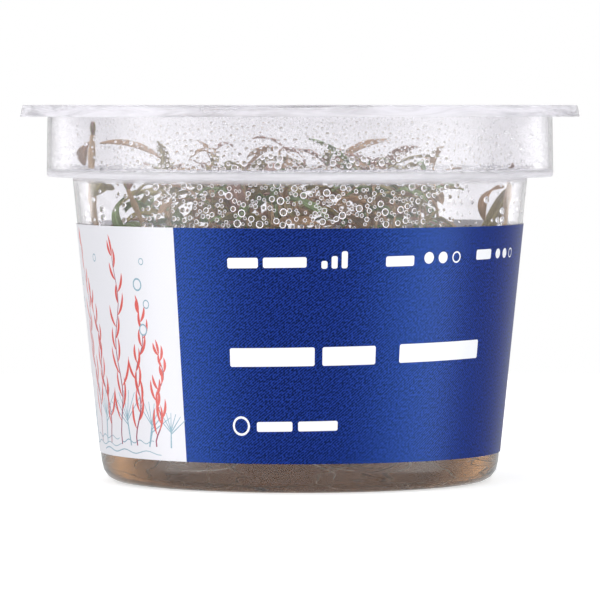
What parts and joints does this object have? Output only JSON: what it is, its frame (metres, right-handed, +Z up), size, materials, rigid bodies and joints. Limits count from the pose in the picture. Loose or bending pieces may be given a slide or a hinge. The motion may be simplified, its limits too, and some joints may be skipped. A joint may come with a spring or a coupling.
{
  "type": "in vitro aquarium plants in a culture cup",
  "caption": "Clear stepped culture cup with a flat clear lid and a wrap label, holding small rooted aquarium plants in a bed of nutrient gel.",
  "frame": {"origin": "middle of the cup's flat underside, which is the bottom centre of the whole", "axes": "+Z up along the cup's axis; -Y towards the front of the label; +X to the right seen from the front"},
  "size_m": [0.1122, 0.1122, 0.075],
  "materials": {
    "cup": "clear moulded polypropylene",
    "lid": "clear film",
    "label": "printed film, satin",
    "gel": "clear brown gel",
    "stem": "smooth plant stem",
    "leaf": "satin plant leaf"
  },
  "bodies": {
    "root": {"cup": "cup", "lid": "lid", "label": "label", "gel": "gel", "stem_1": "stem", "leaf_1_1": "leaf", "leaf_1_2": "leaf", "leaf_1_3": "leaf", "leaf_1_4": "leaf", "leaf_1_5": "leaf", "leaf_1_6": "leaf", "stem_2": "stem", "leaf_2_1": "leaf", "leaf_2_2": "leaf", "leaf_2_3": "leaf", "leaf_2_4": "leaf", "leaf_2_5": "leaf", "leaf_2_6": "leaf", "stem_3": "stem", "leaf_3_1": "leaf", "leaf_3_2": "leaf", "leaf_3_3": "leaf", "leaf_3_4": "leaf", "leaf_3_5": "leaf", "leaf_3_6": "leaf", "stem_4": "stem", "leaf_4_1": "leaf", "leaf_4_2": "leaf", "leaf_4_3": "leaf", "leaf_4_4": "leaf", "leaf_4_5": "leaf", "leaf_4_6": "leaf", "stem_5": "stem", "leaf_5_1": "leaf", "leaf_5_2": "leaf", "leaf_5_3": "leaf", "leaf_5_4": "leaf", "leaf_5_5": "leaf", "leaf_5_6": "leaf", "stem_6": "stem", "leaf_6_1": "leaf", "leaf_6_2": "leaf", "leaf_6_3": "leaf", "leaf_6_4": "leaf", "leaf_6_5": "leaf", "leaf_6_6": "leaf", "stem_7": "stem", "leaf_7_1": "leaf", "leaf_7_2": "leaf", "leaf_7_3": "leaf", "leaf_7_4": "leaf", "leaf_7_5": "leaf", "leaf_7_6": "leaf", "stem_8": "stem", "leaf_8_1": "leaf", "leaf_8_2": "leaf", "leaf_8_3": "leaf", "leaf_8_4": "leaf", "leaf_8_5": "leaf", "leaf_8_6": "leaf"}
  },
  "joints": []
}
